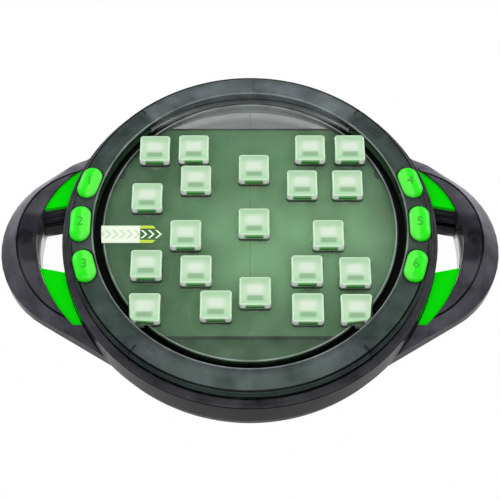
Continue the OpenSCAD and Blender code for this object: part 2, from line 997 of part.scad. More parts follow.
module capacitors() {
    color([0.15, 0.17, 0.35])
        for (s = sides)
            translate([s * cap_x, cap_y, board_under - cap_h])
                cylinder(d = cap_d, h = cap_h);
}

// Speaker frame: a flat rim on the floor and a conical basket above it, with two solder tags
module speaker_frame() {
    r = speaker_d / 2;
    neck = magnet_d / 2 - speaker_rim;
    color(steel)
        translate([0, speaker_y, floor_z]) {
            rotate_extrude()
                polygon([
                    [r - speaker_rim, 0],
                    [r, 0],
                    [r, speaker_rim_h],
                    [r - speaker_rim + frame_t, speaker_rim_h],
                    [neck + frame_t, speaker_h],
                    [0, speaker_h],
                    [0, speaker_h - frame_t],
                    [neck, speaker_h - frame_t],
                    [r - speaker_rim, speaker_rim_h - frame_t]
                ]);
            for (s = sides)
                translate([s * tag_x - tag_w / 2, r - speaker_rim, speaker_rim_h / 2])
                    cube([tag_w, tag_w / 2, speaker_rim_h / 2 + tag_h]);
        }
}

// Paper cone glued inside the frame's rim
module speaker_cone() {
    r = speaker_d / 2 - speaker_rim - fit_gap;
    top = speaker_rim_h - frame_t;
    dust_cap_r = magnet_d / 4;
    color(black)
        translate([0, speaker_y, floor_z])
            rotate_extrude()
                polygon([
                    [0, top + cone_t],
                    [dust_cap_r, top + cone_t],
                    [r - frame_t, 0],
                    [r, 0],
                    [r, cone_t],
                    [r - frame_t + cone_t, cone_t],
                    [dust_cap_r + cone_t, top + 2 * cone_t],
                    [0, top + 2 * cone_t]
                ]);
}

module speaker_magnet() {
    color(black)
        translate([0, speaker_y, floor_z + speaker_h])
            cylinder(d = magnet_d, h = magnet_h);
}

// Tube of diameter d along route, whose points lie in one upright plane with the normal n
module wire(route, n, d) {
    count = len(route);
    ways = [for (i = [0 : count - 1]) route[min(i + 1, count - 1)] - route[max(i - 1, 0)]];
    steps = 8;
    points = [
        for (i = [0 : count - 1], k = [0 : steps - 1])
            let (t = ways[i] / norm(ways[i]), a = 360 * k / steps)
                route[i] + d / 2 * (cos(a) * n + sin(a) * cross(t, n))
    ];
    ring_faces = [
        for (i = [0 : count - 2], k = [0 : steps - 1])
            let (a = i * steps + k, b = i * steps + (k + 1) % steps)
                each [[a, b + steps, b], [a, a + steps, b + steps]]
    ];
    low_end = [for (k = [1 : steps - 2]) [0, k, k + 1]];
    last = (count - 1) * steps;
    high_end = [for (k = [1 : steps - 2]) [last, last + k + 1, last + k]];
    polyhedron(points, concat(ring_faces, low_end, high_end));
}

// Points of a wire that rises from a tag at y0, z0 to the board, in the plane of x
function rise(x, y0, z0) = [
    [x, y0, z0],
    for (t = [0 : 0.25 : 1])
        [x, y0 + wire_sway * (1 - cos(180 * t)) / 2, z0 + wire_stub + t * (board_under - z0 - 2 * wire_stub)],
    [x, y0 + wire_sway, board_under]
];

module speaker_wires() {
    tag_y = speaker_y + speaker_d / 2 - speaker_rim + tag_w / 4;
    tag_z = floor_z + speaker_rim_h + tag_h;
    for (s = sides)
        color(s > 0 ? "red" : "black")
            wire(rise(s * tag_x, tag_y, tag_z), [1, 0, 0], wire_d);
}

module battery_wires() {
    for (s = sides)
        color(s > 0 ? "red" : "black")
            wire(rise(s * (bay_half_x - contact_t / 2), bay_y + s * cell_pitch, bay_top + bay_wall + tag_h),
                [1, 0, 0], wire_d);
}

// One cell along X with its cap towards +X
module cell() {
    rotate([0, 90, 0])
        rotate_extrude()
            polygon([
                [0, -cell_l / 2],
                [cell_d / 2, -cell_l / 2],
                [cell_d / 2, cell_l / 2 - cell_cap_l],
                [cell_cap_r, cell_l / 2 - cell_cap_l],
                [cell_cap_r, cell_l / 2],
                [0, cell_l / 2]
            ]);
}

module battery(i) {
    color([0.75, 0.62, 0.20])
        translate([0, bay_y + cells[i] * cell_pitch, cell_z])
            rotate(i % 2 * 180)
                cell();
}

// Contacts at one end of the bay: a folded leaf against each flat end, a plate with a bump at each cap
module battery_contacts(s) {
    color(steel)
        for (i = [0 : len(cells) - 1])
            translate([s * bay_half_x, bay_y + cells[i] * cell_pitch, 0])
                mirror([s > 0 ? 1 : 0, 0, 0])
                    contact((i % 2 == 0) != (s > 0));
}

// One contact on the bay's wall at x = 0, facing +X: leaf is true for the sprung kind
module contact(leaf) {
    low = cell_z - contact_w / 2;
    reach = contact_room - fit_gap;
    translate([0, -contact_w / 2, low])
        cube([contact_t, contact_w, bay_top - low - fit_gap]);
    translate([0, -tag_w / 2, bay_top - tag_root])
        cube([contact_t, tag_w, bay_wall + tag_h + tag_root]);
    if (leaf)
        translate([0, contact_w / 2, 0])
            rotate([90, 0, 0])
                linear_extrude(contact_w)
                    polygon([
                        [0, low],
                        [reach, cell_z - contact_t],
                        [reach, cell_z + contact_t],
                        [contact_t, low + 3 * contact_t]
                    ]);
    else
        translate([0, 0, cell_z])
            rotate([0, 90, 0])
                cylinder(d = contact_w / 2, h = reach);
}

module battery_door() {
    color(dark_smoke)
        difference() {
            translate([0, bay_y, base_z])
                linear_extrude(door_t)
                    door_outline();
            translate([door_screw_x, bay_y, 0])
                cylinder(d = board_screw_d + 2 * screw_gap, h = big);
        }
}

// Pan-head screw pointing up, with the underside of its head at z = 0
module screw(d, head, l, h) {
    translate([0, 0, -h])
        difference() {
            cylinder(d = head, h = h);
            for (a = [0, 90])
                rotate(a)
                    cube([head * recess_l, head * recess_w, h], center = true);
        }
    translate([0, 0, -h / 4])
        cylinder(d = d, h = l + h / 4);
}

module door_screw() {
    color(steel)
        translate([door_screw_x, bay_y, base_z])
            screw(board_screw_d, board_head_d, door_t + door_screw_grip, base_z - head_lift);
}

module housing_screws() {
    color(steel) {
        for (p = boss_places)
            translate([p.x, p.y, seat_z])
                screw(screw_d, screw_head_d, screw_l, head_h);
        both_sides()
            translate([handle_post_x, 0, handle_seat_z])
                screw(screw_d, screw_head_d, screw_l, head_h);
    }
}

module board_screws() {
    color(steel)
        for (p = board_posts)
            translate([p.x, p.y, board_under])
                screw(board_screw_d, board_head_d, board_screw_l, board_head_h);
}

module rubber_feet() {
    color(black)
        for (p = foot_places)
            translate([p.x, p.y, 0])
                cylinder(d = foot_d, h = base_z + foot_seat);
}

top_housing();
bottom_housing();
start_label();
main_board();
key_lamps();
key_boots();
button_boots();
controller_blob();
capacitors();
speaker_frame();
speaker_cone();
speaker_magnet();
speaker_wires();
battery_contacts(-1);  // battery_contacts_left
battery_contacts(1);  // battery_contacts_right
battery_wires();
battery_door();
door_screw();
housing_screws();
board_screws();
rubber_feet();
for (i = [0 : len(key_nodes) - 1])
    key(i);
for (i = [0 : len(button_nodes) - 1])
    mode_button(i);
for (i = [0 : len(insert_nodes) - 1])
    grip_insert(i < 2 ? 180 : 0, (i % 2 == 0) != (i < 2));
for (i = [0 : len(cell_nodes) - 1])
    battery(i);
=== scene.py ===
import math

import bmesh
import bpy
import numpy as np
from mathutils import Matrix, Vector


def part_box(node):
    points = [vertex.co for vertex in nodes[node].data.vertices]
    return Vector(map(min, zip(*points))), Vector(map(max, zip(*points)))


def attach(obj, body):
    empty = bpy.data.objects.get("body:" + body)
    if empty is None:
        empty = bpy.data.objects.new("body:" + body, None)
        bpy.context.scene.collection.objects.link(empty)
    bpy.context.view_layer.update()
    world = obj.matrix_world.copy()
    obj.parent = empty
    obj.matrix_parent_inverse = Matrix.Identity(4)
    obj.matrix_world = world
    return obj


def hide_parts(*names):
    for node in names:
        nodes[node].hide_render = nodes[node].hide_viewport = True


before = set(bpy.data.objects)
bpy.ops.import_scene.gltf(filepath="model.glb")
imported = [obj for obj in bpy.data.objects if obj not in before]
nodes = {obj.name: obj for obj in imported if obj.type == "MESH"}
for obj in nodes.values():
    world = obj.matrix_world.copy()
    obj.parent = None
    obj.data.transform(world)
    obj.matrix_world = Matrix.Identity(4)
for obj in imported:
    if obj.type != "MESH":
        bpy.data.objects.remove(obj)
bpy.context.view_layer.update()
mm = 0.001
print("frame loaded:", len(nodes), "nodes")


# Helpers

# sRGB hex text to linear red, green, blue and alpha
def linearColour(hexText, alpha=1.0):
    parts = np.array([int(hexText[i:i + 2], 16) for i in (1, 3, 5)]) / 255
    linear = np.where(parts <= 0.04045, parts / 12.92, ((parts + 0.055) / 1.055) ** 2.4)
    return (*[float(v) for v in linear], alpha)


# Adds a node of the given kind, sets its properties and sockets, and links what is given as an output socket
def addNode(tree, kind, sockets=(), **settings):
    node = tree.nodes.new(kind)
    for name, value in settings.items():
        setattr(node, name, value)
    for key, value in dict(sockets).items():
        if isinstance(value, bpy.types.NodeSocket):
            tree.links.new(value, node.inputs[key])
        else:
            node.inputs[key].default_value = value
    return node


# A new material with one Principled shader, and its tree
def startMaterial(name, **sockets):
    material = bpy.data.materials.new(name)
    material.use_nodes = True
    tree = material.node_tree
    tree.nodes.clear()
    shader = addNode(tree, "ShaderNodeBsdfPrincipled", {k.replace("_", " "): v for k, v in sockets.items()})
    addNode(tree, "ShaderNodeOutputMaterial", {"Surface": shader.outputs[0]})
    return material, tree, shader


def mathNode(tree, operation, a, b=0.0, c=0.0):
    return addNode(tree, "ShaderNodeMath", {0: a, 1: b, 2: c}, operation=operation).outputs[0]


# Smooth step of a value from 0 at low to 1 at high
def ramp(tree, value, low, high):
    return addNode(tree, "ShaderNodeMapRange", {"Value": value, "From Min": low, "From Max": high},
                   interpolation_type="SMOOTHSTEP").outputs[0]


# 1 between low and high, falling to 0 over twice soft at both ends
def between(tree, value, low, high, soft):
    return product(tree, ramp(tree, value, low - soft, low + soft), ramp(tree, value, high + soft, high - soft))


def product(tree, value, *factors):
    for factor in factors:
        value = mathNode(tree, "MULTIPLY", value, factor)
    return value


def mixColour(tree, factor, a, b):
    return addNode(tree, "ShaderNodeMix", {0: factor, 6: a, 7: b}, data_type="RGBA").outputs[2]


# Object coordinates in millimetres, whole and split into X, Y and Z
def millimetres(tree):
    coords = addNode(tree, "ShaderNodeTexCoord").outputs["Object"]
    scaled = addNode(tree, "ShaderNodeVectorMath", {0: coords, 1: (1 / mm,) * 3}, operation="MULTIPLY").outputs[0]
    split = addNode(tree, "ShaderNodeSeparateXYZ", {0: scaled})
    return scaled, split.outputs[0], split.outputs[1], split.outputs[2]


# Distance from the upright axis
def flatLength(tree, x, y):
    flat = addNode(tree, "ShaderNodeCombineXYZ", {0: x, 1: y}).outputs[0]
    return addNode(tree, "ShaderNodeVectorMath", {0: flat}, operation="LENGTH").outputs["Value"]


# Noise whose grain is about grainMm wide
def noise(tree, vector, grainMm, detail=2.0):
    return addNode(tree, "ShaderNodeTexNoise",
                   {"Vector": vector, "Scale": 1 / grainMm, "Detail": detail}).outputs[0]


def addBump(tree, shader, height, depthMm, strength=1.0):
    bump = addNode(tree, "ShaderNodeBump", {"Height": height, "Distance": depthMm * mm, "Strength": strength})
    tree.links.new(bump.outputs[0], shader.inputs["Normal"])


# A mesh object from an array of points in millimetres and a list of faces
def meshPiece(name, points, faces, material, smoothAngle=35):
    mesh = bpy.data.meshes.new(name)
    mesh.from_pydata((points * mm).tolist(), [], faces)
    mesh.validate()
    mesh.materials.append(material)
    work = bmesh.new()
    work.from_mesh(mesh)
    bmesh.ops.recalc_face_normals(work, faces=work.faces)
    work.to_mesh(mesh)
    work.free()
    piece = bpy.data.objects.new(name, mesh)
    bpy.context.scene.collection.objects.link(piece)
    smoothByAngle(mesh, smoothAngle)
    return piece


def smoothByAngle(mesh, degrees):
    mesh.polygons.foreach_set("use_smooth", np.ones(len(mesh.polygons), bool))
    mesh.set_sharp_from_angle(angle=math.radians(degrees))


# Quads of a grid of rings by columns points, closed round the columns
def ringQuads(rings, columns):
    row = np.arange(rings - 1)[:, None] * columns
    here = np.arange(columns)[None, :]
    nextColumn = (here + 1) % columns
    corners = [row + here, row + nextColumn, row + columns + nextColumn, row + columns + here]
    return np.stack(corners, -1).reshape(-1, 4)


print("helpers ready")


# Materials

# Smoke-tinted polycarbonate, injection moulded: a clear grey tint that shows what is behind it, with a hard gloss.
# Each zone is (least radius, greatest radius, least height, greatest height, colour, share of light it stops) and,
# where it doesn't go all round, its least and greatest Y. A wall is two surfaces, so it stops its share twice.
# A later zone covers an earlier one. Pairs in brackets are where a soft edge starts and ends.
smokeShell = {
    "plate": (0, 200, -10, 60, "#6E7C70", 0.06),
    # Painted shade on the walls of the key holes, round the keys.
    "holeWallShade": (0, 74.0, 33.9, 35.9, "#050805", 0.9),
    # Painted shade in the groove round the plate, lighter at the rear.
    "moat": (74.0, 78.35, 20, 36.6, "#040605", 0.97),
    "moatRear": (74.0, 78.35, 20, 36.6, "#4C5654", 0.62, 62.5, 200),
    # Painted highlight along the plate's edge.
    "plateEdgeHighlight": (73.0, 73.6, 35.5, 36.6, "#B2BEB8", 0.6),
    "rim": (78.3, 88.9, 33.5, 60, "#636C6D", 0.5),
    # Painted light: the rim is lighter at the rear.
    "rimRearLight": (78.3, 88.9, 33.5, 60, "#7A8487", 0.5, 56, 200),
    # Painted shade on the rim's inner wall, lighter at the rear.
    "rimInsideShade": (77.9, 78.75, 20, 38.6, "#0C1210", 0.6),
    "rimInsideRearShade": (77.9, 78.75, 20, 38.6, "#6E7876", 0.4, 62.5, 200),
    # Painted highlight along the rim's inner top edge.
    "rimEdgeHighlight": (78.3, 79.1, 38.75, 60, "#98A29F", 0.65),
    # Painted dark reflection and shade on the rim's rounded shoulder and outer wall.
    "shoulderLine": (88.9, 90.1, 36.2, 38, "#060808", 0.95),
    "shoulder": (90.1, 91.6, 34.6, 37, "#2A3434", 0.9),
    "rimOutsideShade": (90.9, 91.6, 30.4, 34.6, "#060909", 0.95),
    "ledge": (91.1, 94.6, 28.9, 30.6, "#3C3C42", 0.93),
    "drumWall": (94.0, 95.3, 13.9, 29.2, "#121215", 1.0),
    "drumFoot": (94.2, 95.3, -10, 13.9, "#050506", 1.0),
    "handle": (95.3, 200, -10, 26, "#323138", 0.85),
    # Painted light: the handle's top is lighter than its sides, most at the rear.
    "handleRearLight": (95.3, 200, 14, 26, "#53525A", 0.85, 14, 200),
    "handleFrontLight": (95.3, 200, 14, 26, "#4A4950", 0.85, -200, -14),
    "partingLine": (96, 200, 12.5, 13.6, "#060607", 0.97),
    # Painted light on the finger hole's wall.
    "fingerWallLight": (105.3, 108.9, 12, 24.0, "#B4B3B7", 0.26, -16, 11),
    "soft": 0.2, "endSoft": 3.0, "seamHalfWidth": 0.3, "seamTint": 0.14, "line": "#0A0A0C",
    # The bevel's colour is a painted sheen, and its rear colour a lighter one.
    "bevel": {"middle": 79.8, "radius": 48.5, "foot": 14.0, "slope": 9 / 11.5, "start": 98.3, "colour": "#4C4B53",
              "rear": "#76757E", "turn": [-10, 25], "edge": [-0.5, -0.2], "lineIn": [-1.5, -1.1],
              "lineOut": [-0.3, -0.6], "lineHeight": [16.5, 18]},
    "post": {"x": 115.0, "edge": [6.1, 3.1], "shade": 0.6},
    "tray": {"colour": "#4C5855", "degrees": 50.5, "end": [3.0, -3.0], "inner": [79.0, 79.6], "outer": [89.2, 88.6],
             "height": [33, 34], "stops": 0.06, "lineHalf": 0.5, "lineInner": [85.0, 86.0], "lineOuter": [92.0, 91.5],
             "lineShade": 0.8, "lineStops": 0.3, "gapShadowStops": 0.4},
    "cloud": 0.9, "cloudGrain": 11.0, "flow": 0.06, "flowGrain": 40.0, "scuff": 0.04, "scuffGrain": 14.0,
    "roughness": 0.12}
smokeBase = {
    "shell": (0, 200, -10, 60, "#2B2C30", 0.85),
    # Painted green light from the board on the base's inner floor.
    "floorInsideBoardLight": (0, 80, 2.7, 5.0, "#9CE6A4", 0.84),
    "underside": (0, 95.3, -10, 2.6, "#4C4D52", 0.93),
    "rearFloor": (58, 93.5, -10, 14, "#7E888A", 0.36, 54, 200),
    "rearEdge": (58, 86.2, -10, 14, "#7A8488", 0.5, 54, 200),
    "outside": (95.35, 200, -10, 60, "#2E2D32", 0.93),
    "partingLine": (96, 200, 12.3, 13.4, "#060607", 0.97),
    "handleWindow": (104, 122, -10, 5.7, "#8A8A90", 0.26, -18, 12),
    # Painted light on the finger hole's wall.
    "fingerWallLight": (105.3, 109.4, 5.6, 12.9, "#C9C7CA", 0.26, -16, 9),
    "soft": 0.2, "endSoft": 2.0, "seamTint": 0.0, "bevel": None, "tray": None,
    "cloud": 0.5, "cloudGrain": 11.0, "flow": 0.06, "flowGrain": 40.0, "scuff": 0.04, "scuffGrain": 14.0,
    "roughness": 0.12}


# Colour and share of light stopped: each zone's cover is the product of its bands in radius, height and Y
def zoneTint(tree, radius, y, z, opts):
    soft, endSoft = opts["soft"], opts["endSoft"]
    zones = [v for v in opts.values() if isinstance(v, tuple)]
    colour, tint = linearColour(zones[0][4]), zones[0][5]
    for rLow, rHigh, zLow, zHigh, shade, share, *ends in zones[1:]:
        inside = product(tree, between(tree, radius, rLow, rHigh, soft), between(tree, z, zLow, zHigh, soft))
        if ends:
            fromEnd = mathNode(tree, "MINIMUM", mathNode(tree, "SUBTRACT", y, ends[0]),
                               mathNode(tree, "SUBTRACT", ends[1], y))
            inside = product(tree, inside, ramp(tree, fromEnd, -endSoft, endSoft))
        colour = mixColour(tree, inside, colour, linearColour(shade))
        tint = addNode(tree, "ShaderNodeMix", {0: inside, 2: tint, 3: share}).outputs[0]
    return colour, tint


# The handle's bevel is a cone about the tip's upright axis: its depth is the distance from that axis plus
# slope times the height above the bevel's foot, less the tip's radius, which is 0 on the cone and less on the top
def bevelDepth(tree, x, y, z, bevel):
    along = mathNode(tree, "SUBTRACT", mathNode(tree, "ABSOLUTE", x), bevel["middle"])
    away = flatLength(tree, along, y)
    fromFoot = mathNode(tree, "MULTIPLY_ADD", z, bevel["slope"], -bevel["foot"] * bevel["slope"] - bevel["radius"])
    return mathNode(tree, "ADD", away, fromFoot)


# The bevel's painted sheen, lighter towards the rear, the dark line along its upper edge, and the post seen through the
# handle's top
def shadeHandle(tree, colour, place, radius, opts):
    x, y, z = place
    bevel, post, line = opts["bevel"], opts["post"], linearColour(opts["line"])
    depth = bevelDepth(tree, x, y, z, bevel)
    beyond = mathNode(tree, "GREATER_THAN", radius, bevel["start"])
    # Painted sheen on the bevel, lighter towards the rear
    bevelSheen = product(tree, ramp(tree, depth, *bevel["edge"]), beyond)
    onLine = product(tree, ramp(tree, depth, *bevel["lineIn"]), ramp(tree, depth, *bevel["lineOut"]),
                     product(tree, beyond, ramp(tree, z, *bevel["lineHeight"])))
    shade = mixColour(tree, ramp(tree, y, *bevel["turn"]), linearColour(bevel["colour"]), linearColour(bevel["rear"]))
    colour = mixColour(tree, bevelSheen, colour, shade)
    colour = mixColour(tree, onLine, colour, line)
    postAway = flatLength(tree, mathNode(tree, "SUBTRACT", mathNode(tree, "ABSOLUTE", x), post["x"]), y)
    return mixColour(tree, product(tree, ramp(tree, postAway, *post["edge"]), post["shade"]), colour, line)


# Painted shadow in the gap round each mode button: its places are about the button's own middle, folded into one
# quarter of the rim, and the distance from the capsule's spine is the length of (across, along beyond half the spine)
buttonGapShadow = {"pitch": math.radians(16.3), "edge": [6.5, 5.6], "spines": (9.2, 7.2), "shade": 0.85}


def gapShade(tree, x, y, opts):
    low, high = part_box("mode_button_right_middle")
    ring = (low[0] + high[0]) / 2 / mm
    foldX, foldY = mathNode(tree, "ABSOLUTE", x), mathNode(tree, "ABSOLUTE", y)
    shade = 0.0
    for turn, spine in zip((0.0, opts["pitch"]), opts["spines"]):
        across = mathNode(tree, "MULTIPLY_ADD", foldX, math.cos(turn),
                          mathNode(tree, "MULTIPLY_ADD", foldY, math.sin(turn), -ring))
        along = mathNode(tree, "MULTIPLY_ADD", foldY, math.cos(turn), product(tree, foldX, -math.sin(turn)))
        pastSpine = mathNode(tree, "SUBTRACT", mathNode(tree, "ABSOLUTE", along), spine / 2)
        away = flatLength(tree, across, mathNode(tree, "MAXIMUM", pastSpine, 0.0))
        shade = mathNode(tree, "MAXIMUM", shade, ramp(tree, away, *opts["edge"]))
    return product(tree, shade, opts["shade"])


# The darker part of the rim that holds the buttons, the line at each of its ends, and the painted shadow round the
# buttons.
# The way to an end is the radius times the turn beyond that end.
def shadeTray(tree, colour, tint, place, radius, opts):
    x, y, z = place
    tray, line = opts["tray"], linearColour(opts["line"])
    turn = mathNode(tree, "ARCTAN2", mathNode(tree, "ABSOLUTE", y), mathNode(tree, "ABSOLUTE", x))
    toEnd = product(tree, mathNode(tree, "SUBTRACT", turn, math.radians(tray["degrees"])), radius)
    onRim = product(tree, ramp(tree, radius, *tray["inner"]), ramp(tree, radius, *tray["outer"]))
    onTray = product(tree, onRim, ramp(tree, z, *tray["height"]), ramp(tree, toEnd, *tray["end"]))
    colour = mixColour(tree, onTray, colour, linearColour(tray["colour"]))
    tint = mathNode(tree, "MULTIPLY_ADD", onTray, tray["stops"], tint)
    onOuter = product(tree, ramp(tree, radius, *tray["lineInner"]), ramp(tree, radius, *tray["lineOuter"]))
    atEnd = product(tree, onOuter, mathNode(tree, "LESS_THAN", mathNode(tree, "ABSOLUTE", toEnd), tray["lineHalf"]))
    colour = mixColour(tree, product(tree, atEnd, tray["lineShade"]), colour, line)
    tint = mathNode(tree, "MULTIPLY_ADD", atEnd, tray["lineStops"], tint)
    # Painted shadow in the gaps round the buttons
    gapShadow = product(tree, gapShade(tree, x, y, buttonGapShadow), ramp(tree, z, *tray["height"]))
    return mixColour(tree, gapShadow, colour, line), mathNode(tree, "MULTIPLY_ADD", gapShadow, tray["gapShadowStops"], tint)


def makeSmokePolycarbonate(name, opts):
    material, tree, shader = startMaterial(name, Roughness=0.14, IOR=1.58, Specular_IOR_Level=0.03)
    place, x, y, z = millimetres(tree)
    radius = flatLength(tree, x, y)
    colour, tint = zoneTint(tree, radius, y, z, opts)
    if opts["bevel"]:
        colour = shadeHandle(tree, colour, (x, y, z), radius, opts)
    if opts["tray"]:
        colour, tint = shadeTray(tree, colour, tint, (x, y, z), radius, opts)
    flow = noise(tree, place, opts["flowGrain"])
    tint = mathNode(tree, "ADD", tint, mathNode(tree, "MULTIPLY_ADD", flow, opts["flow"], -opts["flow"] / 2))
    if opts["seamTint"]:
        seam = mathNode(tree, "LESS_THAN", mathNode(tree, "ABSOLUTE", x), opts["seamHalfWidth"])
        tint = mathNode(tree, "MULTIPLY_ADD", seam, opts["seamTint"], tint)
    cloudy = mathNode(tree, "MULTIPLY_ADD", noise(tree, place, opts["cloudGrain"], 3.0),
                      2 * opts["cloud"], 1 - opts["cloud"])
    colour = addNode(tree, "ShaderNodeVectorMath", {0: colour, "Scale": cloudy}, operation="SCALE").outputs[0]
    tree.links.new(colour, shader.inputs["Base Color"])
    tree.links.new(mathNode(tree, "MINIMUM", tint, 1.0), shader.inputs["Alpha"])
    scuff = noise(tree, place, opts["scuffGrain"], 1.0)
    rough = mathNode(tree, "MULTIPLY_ADD", scuff, opts["scuff"], opts["roughness"])
    tree.links.new(rough, shader.inputs["Roughness"])
    return material


# Frosted clear acrylic, moulded: milky green white, with a soft sheen. Its places are in millimetres about the key's
# top: a window bar towards the player, a pale lamp patch, a painted highlight along the top's rounded edges, and
# green windows in the sides where the wall is thin. Pairs in brackets are where a soft edge starts and ends.
frostedKey = {"rear": "#B0D8AE", "rearBand": [6.5, 1.5], "middle": "#C7E5C3", "front": "#B6E1B6",
              "frontBand": [-2.5, -6.0], "cloudGrain": 5.0, "cloudShift": 4.0,
              "patch": "#E2F0DE", "patchX": [5.6, 2.4], "patchY": [3.8, 1.0], "patchMiddle": 1.0,
              "bar": "#78A676", "barX": [5.0, 3.0], "barY": [2.1, 0.7], "barMiddle": -3.9, "barShade": 0.7,
              # The edge colour is a painted highlight on the top's rounded edges.
              "edge": "#DDF9DA", "edgeHighlightBand": [6.6, 7.2], "edgeHighlightDepth": [-1.6, -1.0],
              "corner": "#FFFFFF", "sideBand": [7.15, 7.4], "sideDepth": [-0.35, -0.7],
              "window": "#7CCB78", "deep": "#237A22", "windowBand": [5.2, 4.2], "windowDepth": [-1.4, -2.8],
              "skirt": "#C4D2C6", "skirtDepth": [-3.6, -3.8], "clear": 0.96, "skirtClear": 0.12, "grain": 0.5}


def makeFrostedAcrylic(opts):
    material, tree, shader = startMaterial("frostedAcrylic", Roughness=0.3, IOR=1.49, Specular_IOR_Level=0.3)
    place = millimetres(tree)[0]
    local = addNode(tree, "ShaderNodeAttribute", attribute_name="keyPlace").outputs["Vector"]
    u, v, w = addNode(tree, "ShaderNodeSeparateXYZ", {0: local}).outputs
    across, along = mathNode(tree, "ABSOLUTE", u), mathNode(tree, "ABSOLUTE", v)
    farthest = mathNode(tree, "MAXIMUM", across, along)
    nearest = mathNode(tree, "MINIMUM", across, along)
    shift = opts["cloudShift"]
    cloud = mathNode(tree, "MULTIPLY_ADD", noise(tree, place, opts["cloudGrain"]), shift, -shift / 2)
    drift = mathNode(tree, "ADD", v, cloud)
    colour = mixColour(tree, ramp(tree, drift, *opts["rearBand"]), linearColour(opts["rear"]),
                       linearColour(opts["middle"]))
    colour = mixColour(tree, ramp(tree, drift, *opts["frontBand"]), colour, linearColour(opts["front"]))
    for mark, shade in (("patch", 1.0), ("bar", opts["barShade"])):
        fromMiddle = mathNode(tree, "ABSOLUTE", mathNode(tree, "SUBTRACT", v, opts[mark + "Middle"]))
        cover = product(tree, ramp(tree, across, *opts[mark + "X"]), ramp(tree, fromMiddle, *opts[mark + "Y"]), shade)
        colour = mixColour(tree, cover, colour, linearColour(opts[mark]))
    # Painted highlight along the top's rounded edges
    edgeHighlight = product(tree, ramp(tree, farthest, *opts["edgeHighlightBand"]), ramp(tree, w, *opts["edgeHighlightDepth"]))
    colour = mixColour(tree, edgeHighlight, colour, linearColour(opts["edge"]))
    onSide = product(tree, ramp(tree, farthest, *opts["sideBand"]), ramp(tree, w, *opts["sideDepth"]))
    colour = mixColour(tree, onSide, colour, linearColour(opts["corner"]))
    window = product(tree, onSide, ramp(tree, nearest, *opts["windowBand"]))
    windowColour = mixColour(tree, ramp(tree, w, *opts["windowDepth"]), linearColour(opts["window"]),
                             linearColour(opts["deep"]))
    colour = mixColour(tree, window, colour, windowColour)
    below = ramp(tree, w, *opts["skirtDepth"])
    colour = mixColour(tree, below, colour, linearColour(opts["skirt"]))
    tree.links.new(colour, shader.inputs["Base Color"])
    clear = addNode(tree, "ShaderNodeMix", {0: below, 2: opts["clear"], 3: opts["skirtClear"]}).outputs[0]
    tree.links.new(clear, shader.inputs["Alpha"])
    addBump(tree, shader, noise(tree, place, opts["grain"]), 0.01, 0.2)
    return material


# Bright green ABS, moulded glossy: even pigment with a faint flow pattern, and a painted highlight on the half towards
# the middle of the game
greenAbs = {"colour": "#12EA02", "light": "#22F208", "grain": 9.0, "orangePeel": 0.7, "roughness": 0.34,
            "gloss": 0.25, "inner": "#58F846", "highlightBand": [85.5, 83.7]}
greenInsert = {"colour": "#02E802", "light": "#04F004", "grain": 14.0, "orangePeel": 0.7, "roughness": 0.5,
               "gloss": 0.03, "inner": "#02EC02", "highlightBand": [0.9, -0.9]}


def makeGreenAbs(name, opts):
    material, tree, shader = startMaterial(name, Roughness=opts["roughness"], IOR=1.53,
                                           Specular_IOR_Level=opts["gloss"])
    place, x, y, z = millimetres(tree)
    colour = mixColour(tree, noise(tree, place, opts["grain"]), linearColour(opts["colour"]),
                       linearColour(opts["light"]))
    # Painted highlight: each button is lighter on the side towards the middle
    paintedHighlight = ramp(tree, flatLength(tree, x, y), *opts["highlightBand"])
    colour = mixColour(tree, paintedHighlight, colour, linearColour(opts["inner"]))
    tree.links.new(colour, shader.inputs["Base Color"])
    addBump(tree, shader, noise(tree, place, opts["orangePeel"]), 0.01, 0.3)
    return material


# Printed polyester film: cream field, leaf-green arrow tip, and a row of plain chevrons in place of words.
# Pairs in brackets are shares of the film's half width.
arrowFilm = {"field": "#F0FCE6", "band": "#D2DEC4", "edge": "#C6E23C", "tip": "#1E5A1A", "tipStart": 11.0,
             "tipSoft": 0.4, "chevronPitch": 3.6, "chevronWidth": 0.32, "bandShare": [0.72, 0.62],
             "markShare": [0.5, 0.46], "grain": 0.4}


def makePrintedFilm(opts):
    low, high = (np.array(c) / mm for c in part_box("start_label"))
    right, middle, half = high[0], (low[1] + high[1]) / 2, (high[1] - low[1]) / 2
    tipStart, tipSoft = opts["tipStart"], opts["tipSoft"]
    field, tip = linearColour(opts["field"]), linearColour(opts["tip"])
    material, tree, shader = startMaterial("printedFilm", Roughness=0.35, IOR=1.6)
    place, x, y, z = millimetres(tree)
    across = mathNode(tree, "ABSOLUTE", mathNode(tree, "SUBTRACT", y, middle))
    fromTip = mathNode(tree, "SUBTRACT", right, mathNode(tree, "ADD", x, across))
    inBand = ramp(tree, across, *(half * s for s in opts["bandShare"]))
    step = mathNode(tree, "FRACT", mathNode(tree, "DIVIDE", fromTip, opts["chevronPitch"]))
    chevron = mathNode(tree, "LESS_THAN", step, opts["chevronWidth"])
    marks = product(tree, chevron, ramp(tree, across, *(half * s for s in opts["markShare"])))
    nearTip = ramp(tree, mathNode(tree, "SUBTRACT", right, x), tipStart + tipSoft, tipStart - tipSoft)
    marked = mixColour(tree, marks, field, linearColour(opts["band"]))
    edge = mixColour(tree, nearTip, field, linearColour(opts["edge"]))
    tipField = mixColour(tree, nearTip, marked, mixColour(tree, marks, tip, field))
    tree.links.new(mixColour(tree, inBand, edge, tipField), shader.inputs["Base Color"])
    addBump(tree, shader, noise(tree, place, opts["grain"]), 0.01, 0.2)
    return material


